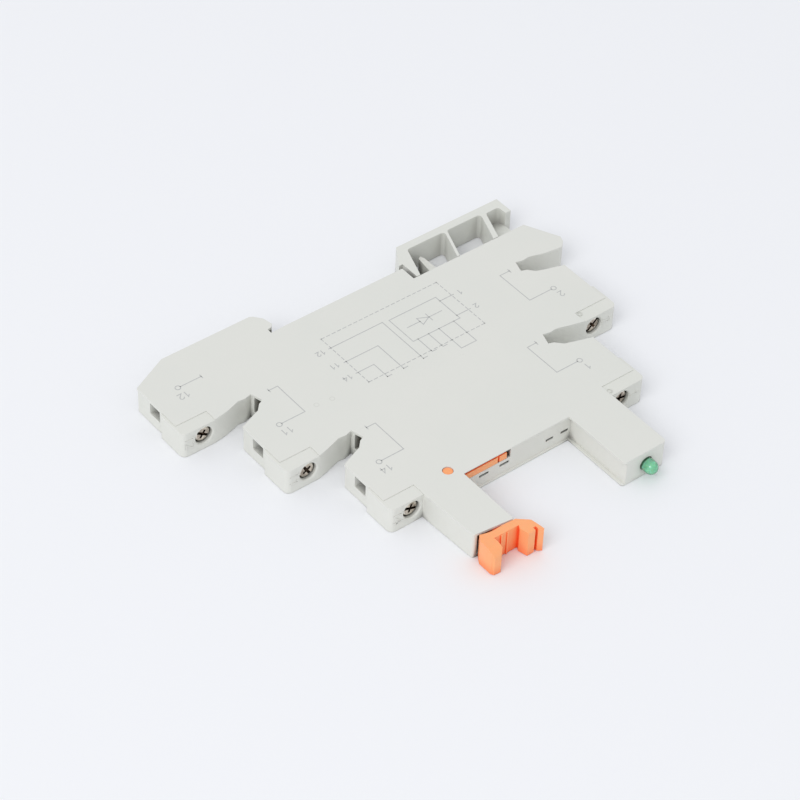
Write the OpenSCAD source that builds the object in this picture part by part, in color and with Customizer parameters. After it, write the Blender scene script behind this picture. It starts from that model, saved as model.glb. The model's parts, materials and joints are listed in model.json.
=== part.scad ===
// Slim plug-in interface relay socket, 6.2 mm wide, lying on its side face.
// The design frame has x = 0 at the middle of the 35 mm rail and y = 0 on the
// rail seat. +y points to the rail, +z runs across the width of the socket.
// Every sub-part is then moved so that the origin is the middle of the
// bottom side face.

/* [Housing] */
// Width of the socket on the rail
body_t = 6.2; // [6:0.1:8]
// Thickness of the cover plate
cover_t = 0.6; // [0.5:0.05:0.9]
// Thickness of the base plate
floor_t = 0.8; // [0.6:0.05:1]
// Thickness of the inner walls
wall_t = 0.9; // [0.7:0.05:1.2]
// Radius of the front corners of the terminals
corner_r = 1.2; // [0.6:0.1:1.8]
// Radius of the locating pegs of the cover
peg_r = 0.8; // [0.5:0.05:1]

/* [Rail side] */
// Width of the mounting rail
rail_w = 35; // [34:0.5:36]
// Thickness of the rail flange
rail_t = 1; // [1:0.1:1.5]
// Rail centre to the end of the flat seat beside the foot
seat_end = 15.6; // [15:0.1:16]
// Height of the hook and of the foot above the seat
hook_h = 6.3; // [5.5:0.1:8]
// Reach of the hook over the rail flange
hook_reach = 1.7; // [1.2:0.1:1.9]
// Depth of the housing edge behind the foot, below the seat
back_drop = 3.8; // [3.4:0.1:4.2]

/* [Terminals] */
// Side of terminal 14 to the side of terminal 11
step_11 = 9.45; // [9:0.05:10]
// Side of terminal 11 to the side of terminal 12
step_12 = 10.15; // [9.5:0.05:11]
// Side of terminal A1 to the side of terminal A2
step_a2 = 9.9; // [9.5:0.05:10.5]
// Rail seat to the front of terminal 12
front_12 = 13.9; // [13.4:0.1:14.4]
// Rail seat to the front of terminal 11
front_11 = 33.6; // [33:0.1:34.2]
// Rail seat to the front of terminal 14
front_14 = 53.2; // [52.8:0.1:53.4]
// Rail seat to the front of terminal A2
front_a2 = 34.3; // [33.8:0.1:34.8]
// Rail seat to the front of terminal A1
front_a1 = 53.8; // [53.6:0.1:54.4]
// Width of the front of an output terminal
face_w = 7.65; // [7.2:0.05:7.9]
// Width of the front of terminal A2
face_w_a2 = 8.6; // [8.2:0.05:9]
// Width of the front of terminal A1
face_w_a1 = 8.7; // [8.3:0.05:9.1]
// Side of an output terminal to its screw axis
screw_in = 5.05; // [4.8:0.05:5.2]
// Side of an input terminal to its screw axis
screw_in_a = 5.85; // [5.6:0.05:6]
// Height of the screw axes above the bottom side face
screw_z = 3.35; // [3.2:0.05:3.4]
// Radius of the screw heads
head_r = 1.75; // [1.5:0.05:1.8]
// Radius of the screw shanks
shank_r = 1.25; // [1:0.05:1.3]
// Travel of a clamp cage
cage_travel = 2.7; // [2:0.1:2.8]
// Width of a wire entry
entry_w = 3.3; // [2.8:0.1:3.6]
// Height of the sill of a wire entry
entry_z = 2.6; // [2.4:0.1:3]
// Front of a terminal to the middle of its wire entry
entry_in = 10.3; // [10.1:0.1:10.6]

/* [Link slots] */
// Depth of a link slot beside an output terminal
slot_l = 7.15; // [6.8:0.05:7.4]
// Depth of a link slot beside an input terminal
slot_l_a = 8.1; // [7.8:0.05:8.3]
// Front of a terminal to the top of the link slot behind it
slot_rise = 21.5; // [21.2:0.1:21.8]
// Front of terminal A2 to the top of the link slot behind it
slot_rise_a2 = 22.2; // [21.8:0.1:22.4]
// Width of a link slot at its mouth
slot_w = 5; // [4.6:0.1:5.2]
// Length of the narrow inner part of a link slot
neck_l = 3.3; // [3:0.1:3.5]

/* [Relay recess] */
// Rail seat to the floor of the relay recess
recess_y = 53.5; // [53.4:0.1:53.8]
// Rail centre to the middle of the relay
relay_x = 0.9; // [0.7:0.1:1.1]
// Length of the relay across the recess, with its clearance
relay_w = 28.3; // [28.1:0.1:28.5]
// Thickness of the relay, with its clearance
relay_t = 5.2; // [5.1:0.05:5.3]
// Lip over the relay on the arm of the latch
lip_l = 1.45; // [1.2:0.05:1.6]
// Lip over the relay on the arm of the lamp
lip_r = 0.65; // [0.5:0.05:0.8]
// Pitch of the relay's contact pins
pin_pitch = 5.04; // [5:0.01:5.08]
// Pitch of the relay's coil pins
coil_pitch = 3.78; // [3.7:0.01:3.84]
// Edge of the relay's room to the nearest pin, at both ends
pin_edge = 1.55; // [1.5:0.05:1.65]
// Height of the pins above the bottom side face
pin_z = 2.85; // [2.8:0.05:2.9]
// Width of a contact pin slot
pin_slot_w = 2.35; // [2.2:0.05:2.4]
// Width of a coil pin slot
coil_slot_w = 1.9; // [1.8:0.05:2]
// Opening height of the pin slots
pin_slot_t = 0.6; // [0.5:0.05:0.8]

/* [Arms] */
// Width of the latch arm
arm_l_w = 9.4; // [9:0.1:9.8]
// Rail seat to the end of the latch arm at its outer corner
arm_l_end = 67.1; // [66.5:0.1:67.3]
// Forward slant of the end of the latch arm
arm_l_slant = 1; // [0.6:0.1:1.1]
// Taper of the latch arm over its length
arm_l_taper = 0.7; // [0.4:0.1:0.8]
// Rail seat to the end of the lamp arm
arm_r_end = 69.6; // [69:0.1:70.4]
// Width of the lamp arm
arm_r_w = 10.7; // [10.4:0.1:10.9]

/* [Latch] */
// Recess edge of the latch arm to the latch pivot
pivot_in = 1.9; // [1.8:0.05:2]
// Recess floor to the latch pivot
pivot_back = 2.4; // [2.3:0.05:2.5]
// Radius of the latch pivot
pivot_r = 1; // [0.8:0.05:1]
// Reach of the ejector bar beyond the pivot
bar_l = 12.6; // [12:0.1:12.8]
// Thickness of the lever inside the latch arm
lever_w = 2.35; // [2:0.05:2.4]
// Length of the latch head, from the end of its arm to the tips
head_l = 4.95; // [4.6:0.05:5.2]
// Width of the grip leg
leg_w = 2.6; // [2.3:0.1:2.9]
// Width of the claw
claw_w = 3.5; // [3.2:0.1:3.8]
// Reach of the claw over the relay
claw_reach = 3; // [2.6:0.1:3.2]

/* [Lamp] */
// Radius of the lamp
lamp_r = 1.5; // [1.3:0.05:1.5]
// Outer edge of the lamp arm to the lamp axis
lamp_in = 4.9; // [4.7:0.1:5.1]
// Height of the lamp axis above the bottom side face
lamp_z = 3; // [2.9:0.05:3.1]
// Straight length of the lamp that stands out of the arm
lamp_out = 1.4; // [1:0.1:1.8]

/* [Rail foot] */
// Rail centre to the outer end of the foot
foot_end = 45.65; // [45.2:0.05:46]
// Travel of the foot
foot_travel = 2.2; // [1.8:0.1:2.2]
// Thickness of the outer wall of the foot
foot_wall = 1.9; // [1.6:0.1:2.1]
// Thickness of the first rib of the foot
foot_rib = 0.65; // [0.6:0.05:0.8]
// Thickness of the second rib of the foot
foot_rib_2 = 1.25; // [1.1:0.05:1.4]

/* [Hidden] */
$fn = 48;

// Overrun of every cut, and the gaps that the pieces share
over = 0.5;
free_gap = 0.2;
run_gap = 0.05;
arc_steps = 5;

// Levels across the width
base_h = body_t - cover_t;
cap_h = body_t - 0.25 * cover_t;
mid_z = body_t / 2;

// Terminal caps: proud front part, its length and the line where the cover stops
cap_step = 0.5;
cap_l = 7.7;
cap_line = 3;
shadow_in = 0.2;
rear_in = cap_step + shadow_in;

// Chamfer of the housing behind terminal 12, and the pointed end behind A2
cham_x = 8.55;
cham_y = 4.1;
tip_back_share = 0.923;
tip_mid_share = 0.959;
tip_low_share = 0.988;
tip_y = 11.3;
tip_front = 14;

// Outline of the hook, as shares of its reach and height
hook_x_shares = [0.65, 1, 0.74, -0.06, -0.47];
hook_y_shares = [0.2, 0.32, 0.67, 0.94, 1];
seat_relief = 0.1;

// Outline of a link slot, as shares of its neck length and mouth width
slot_upper_shares = [[0, 0], [0.5, 0.09], [1, 0.06], [2, 0.26]];
slot_lower_shares = [[-0.25, 0.55], [0.1, 0.64], [0.5, 0.92], [1, 1.04]];
slot_foot_share = 1.31;
window_low_share = 0.16;
window_high_share = 0.46;

// Screw, cage and bar inside a terminal, measured from its front
head_sunk = 0.6;
head_t = 1.5;
mouth_cham = 0.25;
ledge_in = head_sunk + head_t + run_gap;
chamber_in = cap_line + run_gap;
cage_half = 2.25;
cage_z_half = 2.1;
nut_t = 1.4;
cage_wall = 0.8;
cage_hole = 5;
nut_in = chamber_in + cage_travel + 2 * free_gap - run_gap;
bar_in = nut_in + nut_t + 2 * free_gap;
bus_t = 0.7;
bus_z = 2.05;
bus_h = 2.6;
chamber_end = nut_in + nut_t + cage_hole + cage_wall + 2 * free_gap;
slot_cut = 0.55;

// Relay recess
recess_l = relay_x - relay_w / 2;
recess_r = relay_x + relay_w / 2;
arm_l_x = recess_l + lip_l;
arm_r_x = recess_r - lip_r;
arm_r_out = arm_r_x + arm_r_w;

// Sides of the terminals, from the rail centre
side_14 = arm_l_w + face_w - arm_l_x;
side_11 = side_14 + step_11;
half_l = side_11 + step_12;
side_a1 = arm_r_out + face_w_a1;
side_a2 = side_a1 + step_a2;

// Floor and channels of the recess, and the pins
floor_wall = 0.8;
lip_t = (body_t - relay_t) / 2;
channel_wall = 0.5;
pin_x_14 = recess_l + pin_edge;
pin_x_11 = pin_x_14 + pin_pitch;
pin_x_12 = pin_x_11 + pin_pitch;
pin_x_a1 = recess_r - pin_edge;
pin_x_a2 = pin_x_a1 - coil_pitch;

// Latch
pivot_x = arm_l_x - pivot_in;
pivot_y = recess_y - pivot_back;
lever_gap = 0.15;
lever_z0 = floor_t + lever_gap;
lever_z1 = base_h - lever_gap;
hub_r = 1.8;
bar_z = 3.95;
bar_w = 1.9;
head_z0 = 0.1;
head_z1 = body_t - 2 * head_z0;
head_w = 8.6;
swing_a = 10;
pivot_gap = 0.1;
pivot_sunk = 0.25;
lever_right = recess_l - channel_wall - free_gap;
lever_left = lever_right - lever_w;
grip_rib = 0.35;
bar_end = pivot_x + bar_l;
bar_tip_l = 1.8;
bar_notch = 0.4;
window_end = 0.9;
floor_ledge = 0.25;

// Front of the latch arm seen from the pivot: its two corners, and the reach in direction a
arm_corner_l = [face_w - side_14 + arm_l_taper - pivot_x, pivot_y - arm_l_end];
arm_corner_r = [arm_l_x - pivot_x, pivot_y - arm_l_end - arm_l_slant];
arm_a_l = atan2(arm_corner_l[0], -arm_corner_l[1]);
arm_a_r = atan2(arm_corner_r[0], -arm_corner_r[1]);
arm_normal = [arm_corner_r[1] - arm_corner_l[1], arm_corner_l[0] - arm_corner_r[0]];
arm_far = norm(arm_corner_l + [corner_r / 2, corner_r / 2]) + corner_r / 2;
function arm_reach(a) =
    let (b = min(max(a, arm_a_l), arm_a_r))
    min(arm_far, (arm_normal * arm_corner_l) / (arm_normal * [sin(b), -cos(b)]));
function head_back(a) = max([for (k = [0 : arc_steps]) arm_reach(a - swing_a * k / arc_steps)]) + free_gap;
head_rad = arm_far + free_gap;
latch_tip = pivot_y + head_rad + head_l;

// Lamp and circuit board
lamp_x = arm_r_out - lamp_in;
lamp_flange_r = 1.9;
lamp_flange_t = 1;
inner_gap = 0.3;
lamp_seat_y = arm_r_end - floor_wall - inner_gap;
lead_r = 0.25;
lead_pitch = 2.54;
pcb_t = 0.8;
pcb_seat = 0.25;
pcb_z = floor_t + pcb_seat;
pcb_top = pcb_z + pcb_t;
pcb_edge = 1.8;
pcb_rise = 22;
lead_l = 4.6;
lead_run = 1.2;
pcb_l = pin_x_a2 - pcb_edge;
pcb_arm_l = recess_r + channel_wall + inner_gap;
pcb_r = arm_r_out - wall_t - inner_gap;
pcb_end = arm_r_end - lead_l;
pcb_floor_y = recess_y - floor_wall - inner_gap;
pcb_back = pcb_floor_y - pcb_rise;

// Foot: rib slant, tongue in the housing, nose over the rail flange
rib_run_share = 0.37;
foot_z0 = 0.1;
foot_z1 = body_t - foot_z0;
foot_low = back_drop - free_gap;
nose_gap = 0.1;
nose_l = 0.9;
tongue_neck_t = 1.7;
tongue_head_t = 2.5;
tongue_lip = 1;
tab_w = 2.6;
side_wall = 0.9;
end_wall = 1.45;
end_top_share = 1.24;
end_drop = 4.7;
lug_h = 2.7;
lug_r = 9;
lug_front = 1.2;
cell_r = 0.7;
cell_1_l = 8.4;
cell_2_l = 9.65;
foot_slant = 3.2;
foot_gap = 1;
foot_left = seat_end + foot_slant;
foot_floor_l = seat_end + foot_gap;
rib1_x = foot_left + cell_1_l;
rib2_x = rib1_x + cell_2_l;
finger_in = 5.7;
finger_x = seat_end + finger_in;
finger_w = 2.2;
finger_tip_w = 0.9;
finger_h = 7;
finger_z = 3.6;

// The part's origin is the middle of its box
origin_y = (latch_tip - hook_h) / 2;

// Terminal table: name order 12, 11, 14, a2, a1
T12 = 0;
T11 = 1;
T14 = 2;
TA2 = 3;
TA1 = 4;
sides = [half_l, side_11, side_14, side_a2, side_a1];
fronts = [front_12, front_11, front_14, front_a2, front_a1];
hands = [-1, -1, -1, 1, 1];
insets = [screw_in, screw_in, screw_in, screw_in_a, screw_in_a];
function screw_x(i) = hands[i] * (sides[i] - insets[i]);
function front_y(i) = -fronts[i];
function bar_y(i) = front_y(i) + bar_in + bus_t / 2;

// Link slot corners
slot_tops = [
    [0, 0],
    [-(side_11 - slot_l), slot_rise - front_11],
    [-(side_14 - slot_l), slot_rise - front_14],
    [side_a2 - slot_l_a, slot_rise_a2 - front_a2],
    [side_a1 - slot_l_a, slot_rise - front_a1]
];
function slot_at(i, s) = [
    slot_tops[i][0] + hands[i] * s[0] * neck_l,
    slot_tops[i][1] - s[1] * slot_w,
    0
];
function slot_upper(i) = [for (s = slot_upper_shares) slot_at(i, s)];
function slot_lower(i) = [for (s = slot_lower_shares) slot_at(i, s)];
function flip(v) = [for (i = [len(v) - 1 : -1 : 0]) v[i]];
function slot_inner_x(i) = slot_at(i, slot_lower_shares[0])[0] - hands[i] * wall_t;

// A corner list of [x, y, radius] becomes an outline with round corners
function unit(v) = v / norm(v);
function turn(a) = (a + 540) % 360 - 180;
function fillet(a, p, b, r) =
    let (
        u = unit(a - p),
        v = unit(b - p),
        half = acos(u * v) / 2,
        c = p + unit(u + v) * r / sin(half),
        p0 = p + u * r / tan(half) - c,
        p1 = p + v * r / tan(half) - c,
        a0 = atan2(p0[1], p0[0]),
        da = turn(atan2(p1[1], p1[0]) - a0)
    )
    [for (i = [0 : arc_steps]) c + r * [cos(a0 + da * i / arc_steps), sin(a0 + da * i / arc_steps)]];
function xy(p) = [p[0], p[1]];
function rounded(list) = [
    for (i = [0 : len(list) - 1])
        let (n = len(list), p = list[i], a = list[(i + n - 1) % n], b = list[(i + 1) % n])
            for (q = p[2] > 0 ? fillet(xy(a), xy(p), xy(b), p[2]) : [xy(p)]) q
];

// Side of terminal i from its rear corner to its front, set in by s behind the cap
function side_run(i, rear_y, s) = [
    [hands[i] * (sides[i] - s), rear_y, 0],
    [hands[i] * (sides[i] - s), front_y(i) + cap_l, 0],
    [hands[i] * sides[i], front_y(i) + cap_l - cap_step, 0],
    [hands[i] * sides[i], front_y(i), corner_r]
];
function slot_rear(i) = slot_tops[i][1] - slot_foot_share * slot_w;

// Whole side view of the housing, with the sides behind the caps set in by s
function housing_points(s) = concat(
    [
        [seat_end, 0, 0],
        [hook_reach + 2 * free_gap - rail_w / 2, 0, 0],
        [hook_reach + 2 * free_gap - rail_w / 2, -seat_relief, 0],
        [-rail_w / 2, -seat_relief, 0],
        [-rail_w / 2, rail_t + seat_relief, 0]
    ],
    [for (k = [0 : 4]) [hook_x_shares[k] * hook_reach - rail_w / 2, hook_y_shares[k] * hook_h, 0]],
    [
        [s + cham_x - half_l, hook_h, 0],
        [s - half_l, hook_h - cham_y, 0]
    ],
    [for (k = [1 : 3]) side_run(T12, 0, s)[k]],
    [[face_w - half_l, -front_12, 0]],
    flip(slot_upper(T11)),
    slot_lower(T11),
    side_run(T11, slot_rear(T11), s),
    [[face_w - side_11, -front_11, 0]],
    flip(slot_upper(T14)),
    slot_lower(T14),
    side_run(T14, slot_rear(T14), s),
    [
        [face_w - side_14, -front_14, 0],
        [face_w - side_14 + arm_l_taper, -arm_l_end, corner_r / 2],
        [arm_l_x, -arm_l_end - arm_l_slant, corner_r / 4],
        [arm_l_x, -recess_y, 0],
        [arm_r_x, -recess_y, 0],
        [arm_r_x, -arm_r_end, corner_r / 2],
        [arm_r_out, -arm_r_end, corner_r / 1.5],
        [arm_r_out, -front_a1, 0]
    ],
    flip(side_run(TA1, slot_rear(TA1), s)),
    flip(slot_lower(TA1)),
    slot_upper(TA1),
    [[side_a2 - face_w_a2, -front_a2, 0]],
    flip(side_run(TA2, slot_rear(TA2), s)),
    flip(slot_lower(TA2)),
    slot_upper(TA2),
    [
        [half_l * tip_mid_share, -tip_front, corner_r],
        [half_l * tip_low_share, -tip_front + corner_r, corner_r],
        [half_l, -tip_y, 0],
        [half_l * tip_mid_share, -(tip_y + back_drop) / 2 + free_gap, 0],
        [half_l * tip_back_share, -back_drop, 0],
        [seat_end, -back_drop, 0]
    ]
);

// Area of the raised cap of terminal i, which belongs to the base
module cap_area(i) {
    width = i < TA2 ? face_w : (i == TA2 ? face_w_a2 : face_w_a1);
    x0 = hands[i] < 0 ? -sides[i] - over : sides[i] - width;
    translate([x0, front_y(i) - over])
        square([width + over, cap_line + over]);
    translate([hands[i] < 0 ? -sides[i] - over : sides[i] - cap_step, front_y(i) - over])
        square([cap_step + over, cap_l + over]);
}

module all_caps() {
    for (i = [T12 : TA1])
        cap_area(i);
}

// Point beside corner k of a path, on its mitre line
function beside(path, k, side) =
    let (
        last = len(path) - 1,
        d0 = k > 0 ? unit(path[k] - path[k - 1]) : unit(path[1] - path[0]),
        d1 = k < last ? unit(path[k + 1] - path[k]) : d0,
        mitre = unit([-d0[1] - d1[1], d0[0] + d1[0]])
    )
    path[k] + mitre * side / (mitre * [-d0[1], d0[0]]);

// Flat strip along a path, on edge, t thick
module strip(path, t) {
    last = len(path) - 1;
    polygon(concat(
        [for (k = [0 : last]) beside(path, k, -t / 2)],
        [for (k = [last : -1 : 0]) beside(path, k, t / 2)]
    ));
}

// Shaft or hole along -y, from y0 to y1
module along_y(x, y0, y1, z, r) {
    translate([x, y0, z])
        rotate([y1 > y0 ? -90 : 90, 0, 0])
            cylinder(r = r, h = abs(y1 - y0));
}

module block(x0, x1, y0, y1, z0, z1) {
    translate([min(x0, x1), min(y0, y1), min(z0, z1)])
        cube([abs(x1 - x0), abs(y1 - y0), abs(z1 - z0)]);
}

// Paths of the busbars: from the clamp inwards, and the branch to the link slot
function bar_start(i) = [screw_x(i) + hands[i] * (cage_half - free_gap), bar_y(i)];
branch_x_11 = slot_inner_x(T11) + bus_t;
branch_x_14 = slot_inner_x(T14) + bus_t;
branch_x_a2 = slot_inner_x(TA2) - bus_t;
branch_x_a1 = slot_inner_x(TA1) - bus_t;
clip_l = 4.8;
clip_back = recess_y - floor_wall - clip_l;
leaf_t = 0.3;
bus_end = leaf_t - clip_back;
lead_in = 9;
function main_path(i) =
    i == T12 ? [
        bar_start(i),
        [branch_x_11 + 2 * bus_t, bar_y(i)],
        [pin_x_12, bar_y(T11) + bus_t],
        [pin_x_12, bus_end]
    ] :
    i == T11 ? [
        bar_start(i),
        [branch_x_11 + 2 * bus_t, bar_y(i)],
        [pin_x_11, -clip_back + lead_in],
        [pin_x_11, bus_end]
    ] :
    i == T14 ? [bar_start(i), [pin_x_14, bar_y(i)], [pin_x_14, bus_end]] :
    i == TA2 ? [
        bar_start(i),
        [pcb_r - wall_t, bar_y(i)],
        [pcb_r - 2 * wall_t, -pcb_back - 2 * wall_t]
    ] :
    [bar_start(i), [branch_x_a1 - 2 * bus_t, bar_y(i)]];
function branch_path(i) =
    i == T11 ? [[branch_x_11, bar_y(i)], [branch_x_11, slot_tops[i][1] - window_low_share * slot_w]] :
    i == T14 ? [[branch_x_14, bar_y(i)], [branch_x_14, slot_tops[i][1] - window_low_share * slot_w]] :
    i == TA2 ? [[branch_x_a2, bar_y(i)], [branch_x_a2, slot_tops[i][1] - window_low_share * slot_w]] :
    [[branch_x_a1, bar_y(i)], [branch_x_a1, slot_tops[i][1] - window_low_share * slot_w]];

// Places of the cover's pegs in the hollow of the housing
peg_places = [
    [-side_11 + 2 * peg_r, hook_h - 4 * peg_r],
    [(branch_x_11 + pin_x_11) / 2 - 2 * peg_r, (bar_y(T11) + slot_tops[T11][1]) / 2],
    [(branch_x_14 + pin_x_14) / 2, (bar_y(T14) + slot_tops[T14][1]) / 2],
    [seat_end - 3 * peg_r, (bar_y(TA2) + slot_tops[TA2][1]) / 2],
    [branch_x_a2 - 5 * peg_r, (bar_y(TA2) + slot_tops[TA2][1]) / 2],
    [pcb_l, -pcb_back + 6 * peg_r]
];
peg_l = 2.4;
boss_r = 2 * peg_r;

// Hollows between the base plate and the cover
module hollow_areas() {
    // behind terminal 12
    translate([cap_l + wall_t - half_l, slot_tops[T11][1] + wall_t])
        square([half_l - cap_l - wall_t - rail_w / 2 - wall_t, hook_h - wall_t - slot_tops[T11][1] - wall_t]);
    // middle, output side
    polygon([
        [slot_inner_x(T11), -wall_t - seat_relief],
        [slot_inner_x(T11), bar_y(T11) - 2 * bus_t],
        [slot_inner_x(T14), bar_y(T11) - 2 * bus_t],
        [slot_inner_x(T14), -recess_y - wall_t],
        [recess_l - channel_wall, -recess_y - wall_t],
        [recess_l - channel_wall, -recess_y + floor_wall],
        [barrier_x - wall_t / 2, -recess_y + floor_wall],
        [barrier_x - wall_t / 2, -wall_t - seat_relief]
    ]);
    // middle, input side
    polygon([
        [barrier_x + wall_t / 2, -wall_t - seat_relief],
        [barrier_x + wall_t / 2, -recess_y + floor_wall],
        [recess_r + channel_wall, -recess_y + floor_wall],
        [recess_r + channel_wall, -arm_r_end + floor_wall],
        [arm_r_out - wall_t, -arm_r_end + floor_wall],
        [arm_r_out - wall_t, slot_tops[TA1][1] + wall_t],
        [slot_inner_x(TA2), slot_tops[TA1][1] + 2 * wall_t],
        [slot_inner_x(TA2), -tongue_back - wall_t],
        [seat_end - wall_t, -tongue_back - wall_t],
        [seat_end - wall_t, -wall_t - seat_relief]
    ]);
    // room for the latch lever
    polygon([
        [face_w - side_14 + wall_t, -front_14 - wall_t],
        [face_w - side_14 + arm_l_taper + wall_t, -arm_l_end - over - arm_l_slant],
        [recess_l - channel_wall, -arm_l_end - over - arm_l_slant],
        [recess_l - channel_wall, -recess_y],
        [slot_inner_x(T14), -recess_y + floor_wall]
    ]);
}
barrier_x = (pin_x_12 + pin_x_a2) / 2;
tongue_back = back_drop + tongue_lip + tongue_head_t + 2 * free_gap;

// Room for the screw, the cage and the wire of terminal i
module terminal_room(i) {
    x = screw_x(i);
    y = front_y(i);
    along_y(x, y - over, y + ledge_in, screw_z, head_r + free_gap);
    along_y(x, y + ledge_in - over, y + chamber_in + over, screw_z, shank_r + 2 * run_gap);
    // chamfer at the mouth of the screw hole
    hole_r = head_r + free_gap;
    cone_l = mouth_cham + run_gap;
    translate([x, y - run_gap, screw_z])
        rotate([-90, 0, 0])
            cylinder(r1 = hole_r + cone_l, r2 = hole_r, h = cone_l);
    block(x - cage_half - free_gap, x + cage_half + free_gap,
        y + chamber_in, y + chamber_end, floor_t, base_h + over);
    // funnel of the wire entry, open to the cover
    wall_x = hands[i] * (sides[i] - rear_in);
    room_x = x + hands[i] * cage_half;
    hull() {
        block(wall_x, wall_x + hands[i] * over,
            y + entry_in - entry_w / 2, y + entry_in + entry_w / 2, entry_z, base_h + over);
        block(room_x - hands[i] * over, room_x,
            y + entry_in - entry_w / 2.6, y + entry_in + entry_w / 2.6, entry_z - free_gap, base_h + over);
    }
    // way of the busbar, and of its branch to the link slot
    translate([0, 0, bus_z - free_gap])
        linear_extrude(base_h + over - bus_z + free_gap)
            strip(main_path(i), bus_t + 2 * free_gap);
}

// Opening in the end wall of link slot i, where the busbar's branch shows
module link_window(i) {
    x = slot_inner_x(i);
    block(x - hands[i] * over, x + hands[i] * (wall_t + slot_w / 4),
        slot_tops[i][1] - window_low_share * slot_w, slot_tops[i][1] - window_high_share * slot_w,
        bus_z - free_gap, base_h + over);
}

// Slots of the foot's tongue: three necks through the edge, one wide way behind
foot_tabs = [foot_floor_l + 2 * free_gap, rib1_x - tab_w / 2, rib2_x - tab_w / 2];
module tongue_ways() {
    for (x = foot_tabs)
        block(x - free_gap, x + tab_w + foot_travel + free_gap,
            -back_drop + over, -back_drop - tongue_lip - over,
            mid_z - tongue_neck_t / 2 - free_gap, base_h + over);
    block(foot_tabs[0] - free_gap, foot_tabs[2] + tab_w + foot_travel + free_gap,
        -back_drop - tongue_lip, -tongue_back, floor_t, base_h + over);
}

// Pin slots and the window of the ejector bar in the recess floor
module recess_cuts() {
    for (x = [pin_x_12, pin_x_11, pin_x_14])
        block(x - pin_slot_w / 2, x + pin_slot_w / 2, -recess_y - over, -recess_y + floor_wall + over,
            pin_z - pin_slot_t / 2, pin_z + pin_slot_t / 2);
    for (x = [pin_x_a2, pin_x_a1])
        block(x - coil_slot_w / 2, x + coil_slot_w / 2, -recess_y - over, -recess_y + floor_wall + over,
            pin_z - pin_slot_t / 2, pin_z + pin_slot_t / 2);
    // window, and the notch beside the hub that the bar swings through
    block(recess_l, bar_end + window_end, -recess_y - over, -recess_y + floor_wall + over,
        bar_z - run_gap, base_h + over);
    block(recess_l - 2 * channel_wall, recess_l + over, -recess_y - hub_r / 2, -recess_y + floor_wall + over,
        bar_z - free_gap, base_h + over);
    // channels that hold the relay's edges
    block(recess_l, arm_l_x + over, -recess_y, -arm_l_end - 2 * arm_l_slant, lip_t, base_h + over);
    block(arm_r_x - over, recess_r, -recess_y, -arm_r_end - over, lip_t, base_h + over);
}

module housing_base() {
    color([0.87, 0.87, 0.85])
    difference() {
        union() {
            difference() {
                union() {
                    linear_extrude(base_h)
                        polygon(rounded(housing_points(rear_in)));
                    linear_extrude(cap_h)
                        intersection() {
                            polygon(rounded(housing_points(rear_in)));
                            all_caps();
                        }
                }
                translate([0, 0, floor_t])
                    linear_extrude(base_h)
                        hollow_areas();
            }
            // bosses for the pegs
            for (p = peg_places)
                translate([p[0], p[1], 0])
                    cylinder(r = boss_r, h = base_h);
            // ledge at the foot of the recess floor
            block(arm_l_x - over, arm_r_x + over, -recess_y + over, -recess_y - floor_ledge, 0, lip_t);
            // ledges under the circuit board
            for (y = [pcb_floor_y - wall_t, pcb_end - wall_t])
                block(pcb_arm_l, pcb_r, -y, -y + wall_t, floor_t - free_gap, pcb_z);
            // stop finger in the first cell of the foot
            linear_extrude(finger_z)
                polygon([
                    [finger_x, -back_drop - free_gap],
                    [finger_x + finger_w, -back_drop - free_gap],
                    [finger_x + finger_w / 2 + finger_tip_w, finger_h - back_drop - finger_tip_w],
                    [finger_x + finger_w / 2 + finger_tip_w / 2, finger_h - back_drop],
                    [finger_x + finger_tip_w, finger_h - back_drop - finger_tip_w / 2]
                ]);
        }
        for (i = [T12 : TA1])
            terminal_room(i);
        for (i = [T11 : TA1])
            link_window(i);
        tongue_ways();
        recess_cuts();
        // sockets for the pegs
        for (p = peg_places)
            translate([p[0], p[1], base_h - peg_l - free_gap])
                cylinder(r = peg_r + run_gap, h = peg_l + free_gap + over);
        // pivot hole and lamp hole
        translate([pivot_x, -pivot_y, -over])
            cylinder(r = pivot_r + run_gap, h = floor_t + 2 * over);
        along_y(lamp_x, -arm_r_end - over, -arm_r_end + floor_wall + over, lamp_z, lamp_r + run_gap);
    }
}

module housing_cover() {
    color([0.88, 0.88, 0.86])
    difference() {
        union() {
            translate([0, 0, base_h])
                linear_extrude(cover_t)
                    difference() {
                        polygon(rounded(housing_points(cap_step)));
                        all_caps();
                    }
            for (p = peg_places)
                translate([p[0], p[1], base_h - peg_l])
                    cylinder(r = peg_r, h = peg_l + cover_t / 2);
        }
        translate([pivot_x, -pivot_y, base_h - over])
            cylinder(r = pivot_r + pivot_gap, h = cover_t + 2 * over);
        // thinner over the relay's edges and over the ejector bar
        block(recess_l, arm_l_x + over, -recess_y, -arm_l_end - 2 * arm_l_slant,
            base_h - over, body_t - lip_t);
        block(arm_r_x - over, recess_r, -recess_y, -arm_r_end - over, base_h - over, body_t - lip_t);
        block(recess_l, bar_end + window_end, -recess_y - over, -recess_y + floor_wall,
            base_h - over, body_t - lip_t / 2);
    }
}

// Shift of a slanted rib at height y
function rib_shift(y) = rib_run_share * (y + foot_low);

// Cell of the foot between two walls: from x0 to x1 at the housing edge, from x2 to x3 at its top
module foot_cell(x0, x1, x2, x3, top_wall) {
    cell_top = hook_h - free_gap - top_wall;
    polygon(rounded([
        [x0, -foot_low - over, 0],
        [x0, -foot_low, 0],
        [x2, cell_top, cell_r],
        [x3, cell_top, cell_r],
        [x1, -foot_low, 0],
        [x1, -foot_low - over, 0]
    ]));
}

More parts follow.
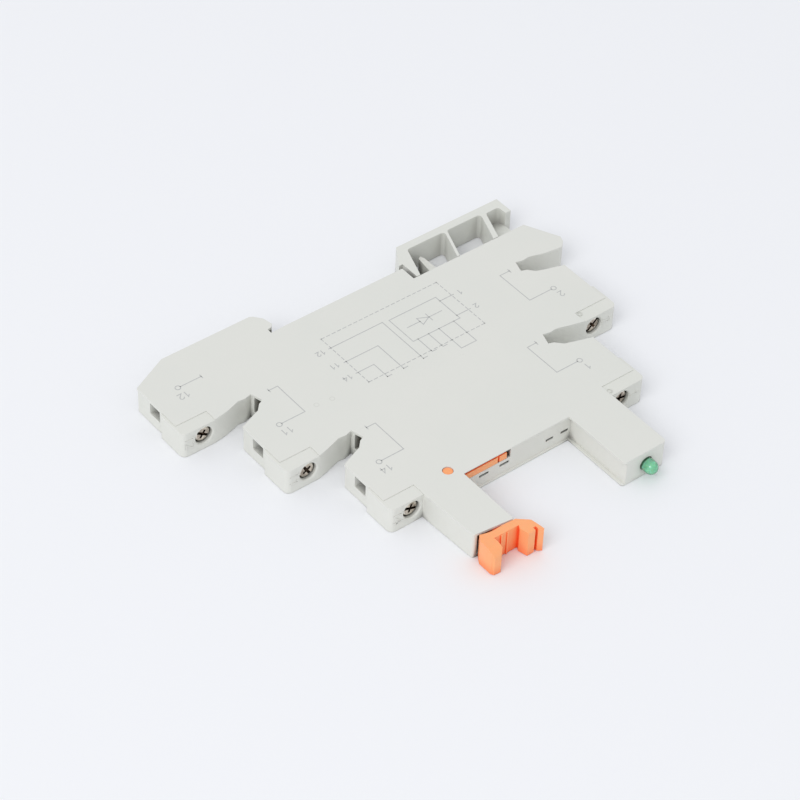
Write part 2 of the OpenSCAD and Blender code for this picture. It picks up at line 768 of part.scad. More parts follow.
module rail_foot() {
    top = hook_h - free_gap;
    run = rib_shift(top - foot_wall);
    end_top = end_top_share * foot_wall;
    end_run = rib_shift(top - end_top);
    rib2_r = rib2_x + foot_rib_2;
    end_in = foot_end - end_wall;
    color([0.82, 0.83, 0.81])
    union() {
        translate([0, 0, foot_z0])
            linear_extrude(foot_z1 - foot_z0)
                difference() {
                    // outer wall, end wall, and the wall with the nose that grips the rail flange
                    polygon([
                        [foot_left, top],
                        [foot_floor_l - nose_l, rail_t + 2 * nose_gap],
                        [foot_floor_l - nose_l, rail_t + nose_gap],
                        [foot_floor_l, rail_t + nose_gap],
                        [foot_floor_l, -foot_low],
                        [rib2_r + over, -foot_low],
                        [rib2_r + over + rib_shift(top - end_drop), top - end_drop],
                        [foot_end, top - end_drop],
                        [foot_end, top]
                    ]);
                    foot_cell(foot_floor_l + side_wall, rib1_x, foot_left + 1.6 * side_wall, rib1_x + run,
                        foot_wall);
                    foot_cell(rib1_x + foot_rib, rib2_x, rib1_x + foot_rib + run, rib2_x + run, foot_wall);
                    foot_cell(rib2_r, end_in, rib2_r + end_run, end_in, end_top);
                }
        // lug with a round top that fills the bottom of the last cell
        intersection() {
            translate([0, 0, foot_z0])
                linear_extrude(lug_h)
                    polygon([
                        [rib2_x + foot_rib_2 / 2, -foot_low],
                        [end_in, -foot_low],
                        [end_in, top - end_drop],
                        [end_in + end_wall / 2, top - end_drop],
                        [end_in + end_wall / 2, top - foot_wall / 2],
                        [rib2_x + foot_rib_2 / 2 + rib_shift(top - foot_wall / 2), top - foot_wall / 2]
                    ]);
            block(rib2_x, foot_end, -lug_front, top, foot_z0 - over, foot_z0 + lug_h);
            translate([rib2_x - over, 0, foot_z0 + lug_h - lug_r])
                rotate([0, 90, 0])
                    cylinder(r = lug_r, h = foot_end - rib2_x + 2 * over);
        }
        // tongue that slides in the housing
        for (x = foot_tabs)
            block(x, x + tab_w, -foot_low + free_gap, -back_drop - tongue_lip - 2 * free_gap,
                mid_z - tongue_neck_t / 2, mid_z + tongue_neck_t / 2);
        block(foot_tabs[0], foot_tabs[2] + tab_w, -back_drop - tongue_lip - free_gap,
            -back_drop - tongue_lip - free_gap - tongue_head_t, floor_t + free_gap, base_h - free_gap);
    }
}

// Side view of the latch head: a bar round the arm's end, a grip leg and a claw
function ring_point(a, r) = [pivot_x + r * sin(a), -pivot_y - r * cos(a)];
head_left_a = -19.5;
head_right_a = 7.3;
// Front outlines, as shares of the claw's or the leg's width and of the head's length
claw_shares = [
    [0.23, 0.72], [0.13, 0.65], [0.01, 0.14], [0, 0.02], [0.26, 0.14], [0.26, 0.3],
    [0.44, 0.3], [0.44, 0.15], [0.9, 0.15], [1.05, 0.55], [0.93, 0.72]
];
leg_shares = [[1, 0.75], [1, 0.26], [0.72, 0.1], [0.15, 0.12], [0, 0.24], [0, 0.9]];
bar_front_share = 0.76;
bar_front = bar_front_share * head_l - latch_tip;
leg_x = arm_l_x - head_w;
module latch_head() {
    steps = 8;
    arc_part = [
        for (i = [0 : steps])
            let (a = head_left_a + (head_right_a - head_left_a) * i / steps)
                ring_point(a, head_back(a))
    ];
    right = arm_l_x + claw_reach;
    claw_part = [for (s = claw_shares) [right - s[0] * claw_w, s[1] * head_l - latch_tip]];
    leg_part = [for (s = leg_shares) [leg_x + s[0] * leg_w, s[1] * head_l - latch_tip]];
    polygon(concat(arc_part, claw_part, leg_part));
}

// Rounding of the leg's front at the upper side
module leg_round() {
    round_r = leg_w * 0.85;
    front = leg_shares[2][1] * head_l - latch_tip;
    difference() {
        block(leg_x - over, leg_x + leg_w + over, front - over, front + round_r,
            head_z1 - round_r, head_z1 + over);
        translate([leg_x - 2 * over, front + round_r, head_z1 - round_r])
            rotate([0, 90, 0])
                cylinder(r = round_r, h = leg_w + 4 * over);
    }
}

module latch_lever() {
    color([1, 0.5, 0.25])
    union() {
        // pivot, with its ends in the base and in the cover
        translate([pivot_x, -pivot_y, lever_gap])
            cylinder(r = pivot_r, h = body_t - lever_gap - pivot_sunk);
        // hub and ejector bar
        translate([0, 0, bar_z])
            linear_extrude(lever_z1 - bar_z) {
                translate([pivot_x, -pivot_y])
                    circle(r = hub_r);
                polygon([
                    [pivot_x, -pivot_y + hub_r / 2],
                    [bar_end, -recess_y + bar_w],
                    [bar_end, -recess_y + run_gap],
                    [bar_end - bar_tip_l, -recess_y + run_gap],
                    [bar_end - bar_tip_l, -recess_y + bar_notch],
                    [bar_end - bar_tip_l - bar_notch, -recess_y + bar_notch],
                    [bar_end - bar_tip_l - bar_notch, -recess_y + run_gap],
                    [recess_l + run_gap, -recess_y + run_gap],
                    [pivot_x, -pivot_y - hub_r]
                ]);
            }
        // arm
        translate([0, 0, lever_z0])
            linear_extrude(lever_z1 - lever_z0)
                polygon([
                    [lever_right, -pivot_y - hub_r + free_gap],
                    [lever_left, -pivot_y - hub_r + free_gap],
                    [lever_left, bar_front + 2 * grip_rib],
                    [lever_right, bar_front + 2 * grip_rib]
                ]);
        translate([0, 0, bar_z])
            linear_extrude(lever_z1 - bar_z)
                polygon([
                    [lever_right, -pivot_y],
                    [pivot_x - hub_r, -pivot_y],
                    [lever_left, -pivot_y - hub_r],
                    [lever_right, -pivot_y - hub_r]
                ]);
        // head
        difference() {
            translate([0, 0, head_z0])
                linear_extrude(head_z1 - head_z0)
                    latch_head();
            leg_round();
        }
        for (k = [0, 1])
            block(lever_left + k * lever_w / 1.6, lever_left + k * lever_w / 1.6 + grip_rib,
                bar_front + 2 * grip_rib, bar_front - grip_rib,
                k * head_z0 + (1 - k) * mid_z, head_z1 - free_gap);
    }
}

module led_lamp() {
    color([0.3, 0.8, 0.5])
    translate([lamp_x, -lamp_seat_y + lamp_flange_t, lamp_z])
        rotate([90, 0, 0])
            rotate_extrude()
                intersection() {
                    union() {
                        square([lamp_flange_r, lamp_flange_t]);
                        square([lamp_r, arm_r_end + lamp_out - lamp_seat_y + lamp_flange_t]);
                        translate([0, arm_r_end + lamp_out - lamp_seat_y + lamp_flange_t])
                            circle(r = lamp_r);
                    }
                    square([lamp_flange_r, arm_r_end]);
                }
}

module led_leads() {
    color("silver")
    for (k = [-1, 1]) {
        x = lamp_x + k * lead_pitch / 2;
        along_y(x, -lamp_seat_y + lamp_flange_t, -pcb_end + lead_run, lamp_z, lead_r);
        translate([x, -pcb_end + lead_run, pcb_top])
            cylinder(r = lead_r, h = lamp_z - pcb_top + lead_r);
    }
}

module circuit_board() {
    color([0.1, 0.4, 0.2])
    translate([0, 0, pcb_z])
        linear_extrude(pcb_t)
            polygon([
                [pcb_l, -pcb_floor_y],
                [pcb_arm_l, -pcb_floor_y],
                [pcb_arm_l, -pcb_end],
                [pcb_r, -pcb_end],
                [pcb_r, -pcb_back],
                [pcb_l, -pcb_back]
            ]);
}

// A small part with its legs on the board: size s, middle at c
module chip(c, s, legs) {
    translate([c[0] - s[0] / 2, c[1] - s[1] / 2, pcb_top + free_gap])
        cube([s[0], s[1], s[2]]);
    for (k = legs, e = [-1, 1])
        translate([c[0] + k * s[0] / 2 - lead_r, c[1] + e * s[1] / 2 - (e < 0 ? leg_l : 0), pcb_top])
            cube([2 * lead_r, leg_l, s[2] / 2]);
}

rect_size = [4.7, 3.9, 2.4];
cap_size = [4.2, 6.4, 3];
diode_size = [2.6, 4.3, 2.2];
res_r = 1.1;
res_l = 5.9;
leg_l = 3 * lead_r;
part_gap = 0.6;
rect_at = [(pcb_arm_l + pcb_r) / 2 - lead_run, -pcb_back - rect_size[1] * 1.5];
cap_at = [rect_at[0], rect_at[1] - (rect_size[1] + cap_size[1]) / 2 - 2 * leg_l - part_gap];
diode_at = [pin_x_a2, -pcb_back - rect_size[1]];
res_top = diode_at[1] - diode_size[1] / 2 - leg_l - part_gap;

module bridge_rectifier() {
    color([0.1, 0.1, 0.1])
    chip(rect_at, rect_size, [-0.55, 0.55]);
}

module smoothing_capacitor() {
    color([0.8, 0.65, 0.2])
    chip(cap_at, cap_size, [0]);
}

module suppression_diode() {
    color([0.12, 0.12, 0.12])
    chip(diode_at, diode_size, [0]);
}

module series_resistors() {
    color([0.5, 0.75, 0.85])
    for (k = [0, 1]) {
        x = pin_x_a2 + k * 2 * (res_r + free_gap);
        translate([x, res_top, pcb_top + res_r])
            rotate([90, 0, 0])
                cylinder(r = res_r, h = res_l);
    }
}

module terminal_screw(i) {
    x = screw_x(i);
    y = front_y(i) + head_sunk;
    slot_t = head_r / 2.8;
    color([0.75, 0.73, 0.68])
    difference() {
        union() {
            along_y(x, y, y + head_t, screw_z, head_r);
            along_y(x, y + head_t - run_gap, front_y(i) + bar_in - run_gap, screw_z, shank_r);
        }
        block(x - head_r - over, x + head_r + over, y - over, y + slot_cut,
            screw_z - slot_t / 2, screw_z + slot_t / 2);
        block(x - slot_t / 2, x + slot_t / 2, y - over, y + slot_cut,
            screw_z - head_r / 1.5, screw_z + head_r / 1.5);
    }
}

module clamp_cage(i) {
    x = screw_x(i);
    y = front_y(i) + nut_in;
    color([0.8, 0.8, 0.78])
    difference() {
        block(x - cage_half, x + cage_half, y, y + nut_t + cage_hole + cage_wall,
            screw_z - cage_z_half, screw_z + cage_z_half);
        block(x - cage_half - over, x + cage_half + over, y + nut_t, y + nut_t + cage_hole,
            screw_z - cage_z_half + slot_cut, screw_z + cage_z_half - slot_cut);
        along_y(x, y - over, y + nut_t + over, screw_z, shank_r + run_gap);
    }
}

module busbar(i) {
    color([0.85, 0.72, 0.45])
    translate([0, 0, bus_z])
        linear_extrude(bus_h) {
            strip(main_path(i), bus_t);
            if (i > T12)
                strip(branch_path(i), bus_t);
        }
}

// Spring clip for one relay pin: a back plate and two leaves that close on the pin
clip_h = 1.8;
module relay_contact(x, w, low_z) {
    back = -clip_back;
    reach = clip_back - recess_y + floor_wall + 2 * free_gap;
    color([0.86, 0.74, 0.5])
    translate([x + w / 2, 0, pin_z])
        rotate([0, -90, 0])
            linear_extrude(w) {
                for (s = [-1, 1]) {
                    strip([
                        [s * (clip_h / 2 - leaf_t / 2), back],
                        [s * (leaf_t / 2 + run_gap), back + reach * 0.7],
                        [s * clip_h / 4, back + reach]
                    ], leaf_t);
                }
                translate([low_z - pin_z, back - leaf_t])
                    square([clip_h / 2 + pin_z - low_z, 2 * leaf_t]);
            }
}

contact_w = 1.7;
coil_contact_w = 1.5;
clip_low = pin_z - clip_h / 2;

module placed() {
    translate([0, origin_y, 0])
        children();
}

placed() housing_base();
placed() housing_cover();
placed() rail_foot();
placed() latch_lever();
placed() led_lamp();
placed() led_leads();
placed() circuit_board();
placed() bridge_rectifier();
placed() series_resistors();
placed() smoothing_capacitor();
placed() suppression_diode();
placed() terminal_screw(T12);  // terminal_screw_12
placed() terminal_screw(T11);  // terminal_screw_11
placed() terminal_screw(T14);  // terminal_screw_14
placed() terminal_screw(TA2);  // terminal_screw_a2
placed() terminal_screw(TA1);  // terminal_screw_a1
placed() clamp_cage(T12);  // clamp_cage_12
placed() clamp_cage(T11);  // clamp_cage_11
placed() clamp_cage(T14);  // clamp_cage_14
placed() clamp_cage(TA2);  // clamp_cage_a2
placed() clamp_cage(TA1);  // clamp_cage_a1
placed() busbar(T12);  // busbar_12
placed() busbar(T11);  // busbar_11
placed() busbar(T14);  // busbar_14
placed() busbar(TA2);  // busbar_a2
placed() busbar(TA1);  // busbar_a1
placed() relay_contact(pin_x_12, contact_w, clip_low);  // relay_contact_12
placed() relay_contact(pin_x_11, contact_w, clip_low);  // relay_contact_11
placed() relay_contact(pin_x_14, contact_w, clip_low);  // relay_contact_14
placed() relay_contact(pin_x_a2, coil_contact_w, pcb_top);  // relay_contact_a2
placed() relay_contact(pin_x_a1, coil_contact_w, pcb_top);  // relay_contact_a1
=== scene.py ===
"""Slim plug-in relay socket on a pale table: looks, markings, screws, light and camera."""

import json
import math

import bmesh
import bpy
from mathutils import Matrix, Vector


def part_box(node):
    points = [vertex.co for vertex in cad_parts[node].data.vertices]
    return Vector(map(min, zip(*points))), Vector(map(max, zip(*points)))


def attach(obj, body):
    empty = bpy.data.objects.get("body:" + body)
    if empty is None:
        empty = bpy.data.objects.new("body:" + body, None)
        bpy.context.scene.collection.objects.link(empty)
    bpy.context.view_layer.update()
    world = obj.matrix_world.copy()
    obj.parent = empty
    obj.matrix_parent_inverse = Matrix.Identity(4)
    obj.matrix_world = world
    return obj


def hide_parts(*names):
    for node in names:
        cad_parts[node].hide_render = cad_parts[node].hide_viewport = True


MM = 0.001
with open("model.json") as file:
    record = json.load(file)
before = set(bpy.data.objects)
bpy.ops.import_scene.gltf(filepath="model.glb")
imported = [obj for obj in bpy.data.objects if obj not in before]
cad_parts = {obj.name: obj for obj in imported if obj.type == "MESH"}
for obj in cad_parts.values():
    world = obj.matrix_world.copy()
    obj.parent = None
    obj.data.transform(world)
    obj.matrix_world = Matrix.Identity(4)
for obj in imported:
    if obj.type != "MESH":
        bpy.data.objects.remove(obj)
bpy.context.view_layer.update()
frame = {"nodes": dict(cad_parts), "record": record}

# Places taken from the frame, in millimetres
OUTPUTS = ("12", "11", "14")
INPUTS = ("a2", "a1")
TERMINALS = OUTPUTS + INPUTS
MOUNTS = {mount["name"]: mount for mount in frame["record"]["mounts"]}
SEAT_Y = MOUNTS["rail_seat"]["pos_m"][1] / MM


def node_box(name):
    """Lowest and highest corner of a CAD node, in millimetres."""
    low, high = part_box(name)
    return low / MM, high / MM


TOP = node_box("housing_cover")[1].z


def outward(key):
    """Direction along x in which a terminal faces its wire."""
    return -1 if key in OUTPUTS else 1


# Helpers for shader nodes


def new_material(name):
    mat = bpy.data.materials.new(name)
    mat.use_nodes = True
    tree = mat.node_tree
    return mat, tree, tree.nodes["Principled BSDF"]


def node(tree, kind, **values):
    """New node, with its settings and the values of its inputs."""
    made = tree.nodes.new(kind)
    for key, value in values.items():
        if hasattr(made, key):
            setattr(made, key, value)
        else:
            made.inputs[key].default_value = value
    return made


def object_coords(tree):
    return node(tree, "ShaderNodeTexCoord").outputs["Object"]


def noise(tree, coords, scale, detail=3.0, rough=0.5):
    made = node(tree, "ShaderNodeTexNoise", Scale=scale, Detail=detail, Roughness=rough)
    tree.links.new(coords, made.inputs["Vector"])
    return made.outputs["Fac"]


def remap(tree, value, low, high, start=0.3, end=0.7):
    """Turns start to end of a value into low to high."""
    made = node(tree, "ShaderNodeMapRange")
    made.inputs["From Min"].default_value = start
    made.inputs["From Max"].default_value = end
    made.inputs["To Min"].default_value = low
    made.inputs["To Max"].default_value = high
    tree.links.new(value, made.inputs["Value"])
    return made.outputs["Result"]


def mix_colour(tree, factor, a, b):
    made = node(tree, "ShaderNodeMix", data_type="RGBA")
    tree.links.new(factor, made.inputs[0])
    for socket, value in ((made.inputs[6], a), (made.inputs[7], b)):
        if isinstance(value, bpy.types.NodeSocket):
            tree.links.new(value, socket)
        else:
            socket.default_value = (*value, 1.0)
    return made.outputs[2]


def bump(tree, heights, shader):
    """Chains (height, strength, distance) bumps into the shader's normal."""
    last = None
    for height, strength, distance in heights:
        made = node(tree, "ShaderNodeBump", Strength=strength, Distance=distance)
        tree.links.new(height, made.inputs["Height"])
        if last is not None:
            tree.links.new(last, made.inputs["Normal"])
        last = made.outputs["Normal"]
    tree.links.new(last, shader.inputs["Normal"])


def srgb(*channels):
    """Linear colour of an 8-bit display colour."""
    shares = [c / 255.0 for c in channels]
    return tuple(c / 12.92 if c <= 0.04045 else ((c + 0.055) / 1.055) ** 2.4 for c in shares)


# Scales of the patterns in the materials, per metre
FLOW_SCALE = 45.0
PATCH_SCALE = 160.0
RIPPLE_SCALE = 260.0
SPECK_SCALE = 1900.0
GRAIN_SCALE = 5200.0
CLOUD_SCALE = 700.0
DRAWN_SCALE = 6000.0
DRAWN_STRETCH = 0.08
WEAVE_SCALE = 900.0
TRACK_SCALE = 260.0
HAZE_SCALE = 900.0
LENS_SCALE = 350.0
FADE_SCALE = 1500.0

# Heights of the bumps, in metres
RIPPLE_BUMP = 0.00003
DRAWN_BUMP = 0.00002
TRACK_BUMP = 0.00003
LENS_BUMP = 0.00003
FADE_BUMP = 0.00001

# How much smoother and rougher than its middle value a surface gets in patches
SMOOTHER = 0.06
PLASTIC_ROUGHER = 0.07
METAL_ROUGHER = 0.16
PLASTIC_SPECULAR = 0.42

# Painted shade in hollows: how far around a point counts, and the open share below which the painted
# shade is full
HOLE_REACH = 0.0035
SHUT_SHARE = 0.16

# Lamp: how far it stands out of the arm, and the band of painted shade at its base, in millimetres
LAMP_OUT = 2.9
LAMP_BASE = 0.55
LAMP_BASE_EDGE = 0.2


def paint_shade_in_hollows(tree, shade, dark, open_share):
    """Paints shade into a colour: darker where less of the air around it is open than open_share."""
    depth = node(tree, "ShaderNodeAmbientOcclusion", Distance=HOLE_REACH)
    shut = remap(tree, depth.outputs["AO"], 1.0, 0.0, SHUT_SHARE, open_share)
    return mix_colour(tree, shut, shade, dark)


def moulded_plastic(name, colour, tint, rough, grain=0.00002, specks=None, dark=None, open_share=0.5):
    """Moulded plastic with spark-eroded grain, faint flow marks and duller and shinier patches; when
    dark is given, painted shade in its hollows.
    """
    mat, tree, shader = new_material(name)
    coords = object_coords(tree)
    flow = noise(tree, coords, FLOW_SCALE, 4.0, 0.6)
    shade = mix_colour(tree, remap(tree, flow, 0.0, 1.0), colour, tint)
    if specks is not None:
        fine = noise(tree, coords, SPECK_SCALE, 2.0, 0.7)
        shade = mix_colour(tree, remap(tree, fine, 0.0, 0.35, 0.66, 0.8), shade, specks)
    # painted shade: the dark colour is mixed in where the air around is shut
    if dark is not None:
        shade = paint_shade_in_hollows(tree, shade, dark, open_share)
    tree.links.new(shade, shader.inputs["Base Color"])
    patches = noise(tree, coords, PATCH_SCALE, 3.0, 0.6)
    uneven = remap(tree, patches, rough - SMOOTHER, rough + PLASTIC_ROUGHER)
    tree.links.new(uneven, shader.inputs["Roughness"])
    shader.inputs["Specular IOR Level"].default_value = PLASTIC_SPECULAR
    ripple = noise(tree, coords, RIPPLE_SCALE, 2.0, 0.5)
    erosion = noise(tree, coords, GRAIN_SCALE, 2.0, 0.6)
    bump(tree, [(ripple, 0.25, RIPPLE_BUMP), (erosion, 0.3, grain)], shader)
    return mat


def plated_metal(name, colour, dark, rough, drawn=False):
    """Plated metal with fine wear and dull patches; on the screw heads the patches are also painted
    glints and painted dark reflection. Drawn strip has lines along y.
    """
    mat, tree, shader = new_material(name)
    coords = object_coords(tree)
    cloud = noise(tree, coords, CLOUD_SCALE, 5.0, 0.65)
    shade = mix_colour(tree, remap(tree, cloud, 0.0, 1.0, 0.35, 0.75), colour, dark)
    tree.links.new(shade, shader.inputs["Base Color"])
    uneven = remap(tree, cloud, rough - SMOOTHER, rough + METAL_ROUGHER)
    tree.links.new(uneven, shader.inputs["Roughness"])
    shader.inputs["Metallic"].default_value = 1.0
    stretch = node(tree, "ShaderNodeMapping")
    stretch.inputs["Scale"].default_value = (1.0, DRAWN_STRETCH if drawn else 1.0, 1.0)
    tree.links.new(coords, stretch.inputs["Vector"])
    lines = noise(tree, stretch.outputs["Vector"], DRAWN_SCALE, 2.0, 0.6)
    bump(tree, [(lines, 0.25, DRAWN_BUMP)], shader)
    return mat


def board_material():
    """Green solder mask over a weave, with copper tracks under it."""
    mat, tree, shader = new_material("board_green")
    coords = object_coords(tree)
    weave = node(tree, "ShaderNodeTexWave", Scale=WEAVE_SCALE, Distortion=0.6)
    tree.links.new(coords, weave.inputs["Vector"])
    tracks = node(tree, "ShaderNodeTexBrick", Scale=TRACK_SCALE)
    tree.links.new(coords, tracks.inputs["Vector"])
    base = mix_colour(tree, weave.outputs["Fac"], srgb(30, 92, 52), srgb(36, 104, 60))
    over_track = remap(tree, tracks.outputs["Fac"], 0.0, 0.5, 0.2, 0.8)
    shade = mix_colour(tree, over_track, base, srgb(60, 130, 84))
    tree.links.new(shade, shader.inputs["Base Color"])
    shader.inputs["Roughness"].default_value = 0.32
    bump(tree, [(tracks.outputs["Fac"], 0.3, TRACK_BUMP)], shader)
    return mat


def lamp_material():
    """Tinted, slightly cloudy lamp plastic, with painted shade at its rim and on the band where it
    leaves the arm.
    """
    mat, tree, shader = new_material("lamp_green")
    coords = object_coords(tree)
    cloud = noise(tree, coords, HAZE_SCALE, 3.0, 0.6)
    shade = mix_colour(tree, remap(tree, cloud, 0.0, 1.0), srgb(160, 250, 206), srgb(132, 236, 184))
    # Painted shade at the lens's rim, darker where the surface turns away from view
    rim = node(tree, "ShaderNodeLayerWeight", Blend=0.5).outputs["Facing"]
    shade = mix_colour(tree, remap(tree, rim, 0.0, 1.0, 0.35, 0.8), shade, srgb(40, 128, 88))
    # Painted shade on the band where the lamp leaves the arm
    across = node(tree, "ShaderNodeSeparateXYZ")
    tree.links.new(coords, across.inputs["Vector"])
    arm_end = node_box("led_lamp")[0].y + LAMP_OUT
    near, far = ((arm_end - out) * MM for out in (LAMP_BASE, LAMP_BASE - LAMP_BASE_EDGE))
    base = remap(tree, across.outputs["Y"], 0.0, 1.0, near, far)
    shade = mix_colour(tree, base, shade, srgb(8, 104, 58))
    tree.links.new(shade, shader.inputs["Base Color"])
    tree.links.new(remap(tree, cloud, 0.02, 0.06), shader.inputs["Roughness"])
    shader.inputs["Transmission Weight"].default_value = 0.55
    shader.inputs["IOR"].default_value = 1.5
    shader.inputs["Subsurface Weight"].default_value = 0.3
    shader.inputs["Subsurface Scale"].default_value = 0.0012
    shader.inputs["Coat Weight"].default_value = 1.0
    shader.inputs["Coat Roughness"].default_value = 0.05
    bump(tree, [(noise(tree, coords, LENS_SCALE, 2.0), 0.15, LENS_BUMP)], shader)
    return mat


def ink_material(name, colour, worn):
    """Grey marking, slightly uneven."""
    mat, tree, shader = new_material(name)
    coords = object_coords(tree)
    fade = noise(tree, coords, FADE_SCALE, 3.0, 0.7)
    shade = mix_colour(tree, remap(tree, fade, 0.0, 0.7, 0.4, 0.75), colour, worn)
    tree.links.new(shade, shader.inputs["Base Color"])
    tree.links.new(remap(tree, fade, 0.5, 0.65), shader.inputs["Roughness"])
    bump(tree, [(fade, 0.2, FADE_BUMP)], shader)
    return mat


# Materials

GREY = srgb(224, 224, 218)
# Painted shade for the housing's wire entries, slots and other hollows
HOLLOW_PAINTED_SHADE = srgb(62, 59, 54)
# Painted shade for the cells of the rail foot
CELL_PAINTED_SHADE = srgb(184, 183, 178)
HOUSING = moulded_plastic(
    "housing_grey", GREY, srgb(220, 221, 214), 0.5, 0.000022, srgb(210, 210, 203), HOLLOW_PAINTED_SHADE, 0.52
)
COVER = moulded_plastic(
    "cover_grey", GREY, srgb(221, 222, 216), 0.52, 0.00002, srgb(211, 211, 205)
)
FOOT = moulded_plastic(
    "foot_grey", srgb(224, 225, 219), srgb(219, 220, 213), 0.46, 0.00002,
    srgb(208, 208, 200), CELL_PAINTED_SHADE, 0.8
)
MOULD = moulded_plastic("mould_mark", srgb(214, 214, 208), srgb(210, 211, 204), 0.45)
# The latch's deep orange is painted shade in its crevices
ORANGE = moulded_plastic(
    "latch_orange", srgb(255, 176, 120), srgb(255, 166, 108), 0.38, 0.000016,
    None, srgb(255, 98, 40), 0.9
)
ORANGE_SHADER = ORANGE.node_tree.nodes["Principled BSDF"]
ORANGE_SHADER.inputs["Subsurface Weight"].default_value = 0.08
ORANGE_SHADER.inputs["Subsurface Scale"].default_value = 0.0005
# Nickel plating patches, whose far-apart bright and dark colours also serve as painted glints and
# painted dark reflection
NICKEL = plated_metal("screw_nickel", srgb(232, 222, 208), srgb(88, 70, 54), 0.24)
# Painted highlight for the rims of the screw heads
RIM_HIGHLIGHT = plated_metal("screw_rim_highlight", srgb(252, 248, 240), srgb(170, 156, 140), 0.14)
# Painted shade for the slots and crosses of the screw heads
RECESS_SHADE = plated_metal("screw_recess_shade", srgb(84, 68, 54), srgb(52, 40, 32), 0.4)
# Zinc plating, set darker than bare zinc as painted shade inside the wire entries
ZINC = plated_metal("cage_zinc", srgb(112, 110, 108), srgb(84, 80, 76), 0.4, True)
BRASS = plated_metal("bar_tinned", srgb(214, 190, 148), srgb(168, 140, 96), 0.3, True)
BRONZE = plated_metal("spring_bronze", srgb(122, 92, 60), srgb(86, 62, 38), 0.35, True)
TIN = plated_metal("lead_tin", srgb(205, 205, 205), srgb(150, 150, 150), 0.3, True)
BLACK = moulded_plastic("chip_black", srgb(36, 36, 38), srgb(28, 28, 30), 0.5)
BLUE = moulded_plastic("resistor_blue", srgb(130, 178, 196), srgb(118, 166, 186), 0.25)
YELLOW = moulded_plastic("capacitor_yellow", srgb(214, 176, 74), srgb(200, 160, 60), 0.35)
BOARD = board_material()
LAMP = lamp_material()
INK = ink_material("marking_grey", srgb(184, 185, 184), srgb(202, 203, 200))


# Materials and softened edges of the CAD nodes

WELD_REACH = 0.001
FLAT_ANGLE = 0.5
EDGE_ANGLE = 40


def dress(name, mat, width=None):
    """Gives a CAD node its material, and rounds its edges by width millimetres."""
    obj = frame["nodes"][name]
    obj.data.materials.clear()
    obj.data.materials.append(mat)
    if width:
        weld = obj.modifiers.new("weld", "WELD")
        weld.merge_threshold = WELD_REACH * MM
        flat = obj.modifiers.new("flat", "DECIMATE")
        flat.decimate_type = "DISSOLVE"
        flat.angle_limit = math.radians(FLAT_ANGLE)
        edge = obj.modifiers.new("edge", "BEVEL")
        edge.width = width * MM
        edge.segments = 2
        edge.limit_method = "ANGLE"
        edge.angle_limit = math.radians(EDGE_ANGLE)
        edge.use_clamp_overlap = True
        even = obj.modifiers.new("even", "WEIGHTED_NORMAL")
        even.keep_sharp = False


dress("housing_base", HOUSING, 0.12)
dress("housing_cover", COVER, 0.1)
dress("rail_foot", FOOT, 0.12)
dress("latch_lever", ORANGE, 0.12)
dress("led_lamp", LAMP)
dress("led_leads", TIN)
dress("circuit_board", BOARD)
dress("bridge_rectifier", BLACK)
dress("series_resistors", BLUE)
dress("smoothing_capacitor", YELLOW)
dress("suppression_diode", BLACK)
for key in TERMINALS:
    dress("clamp_cage_" + key, ZINC)
    dress("busbar_" + key, BRASS)
    dress("relay_contact_" + key, BRONZE)


# Mesh helpers


def add_object(name, mesh, mat, body):
    obj = bpy.data.objects.new(name, mesh)
    bpy.context.scene.collection.objects.link(obj)
    mesh.materials.append(mat)
    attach(obj, body)
    return obj


def mesh_from(name, verts, faces):
    """Mesh in millimetres, with its faces turned outwards."""
    mesh = bpy.data.meshes.new(name)
    mesh.from_pydata([tuple(c * MM for c in v) for v in verts], [], faces)
    shell = bmesh.new()
    shell.from_mesh(mesh)
    bmesh.ops.recalc_face_normals(shell, faces=shell.faces)
    shell.to_mesh(mesh)
    shell.free()
    return mesh


# Raised lines and plain numbers

DIGITS = {
    "1": [[(0.1, 0.72), (0.38, 1.0), (0.38, 0.0)]],
    "2": [[
        (0.0, 0.78), (0.1, 0.93), (0.3, 1.0), (0.5, 0.93),
        (0.6, 0.74), (0.52, 0.55), (0.0, 0.0), (0.62, 0.0),
    ]],
    "4": [[(0.48, 0.0), (0.48, 1.0), (0.0, 0.3), (0.64, 0.3)]],
}
DIGIT_STEP = 0.9
DIGIT_W = 0.62
STROKE_SUNK = 0.02
SHARPEST_MITRE = 0.4
RING_STEPS = 24
DASH = 0.75
DASH_GAP = 0.6


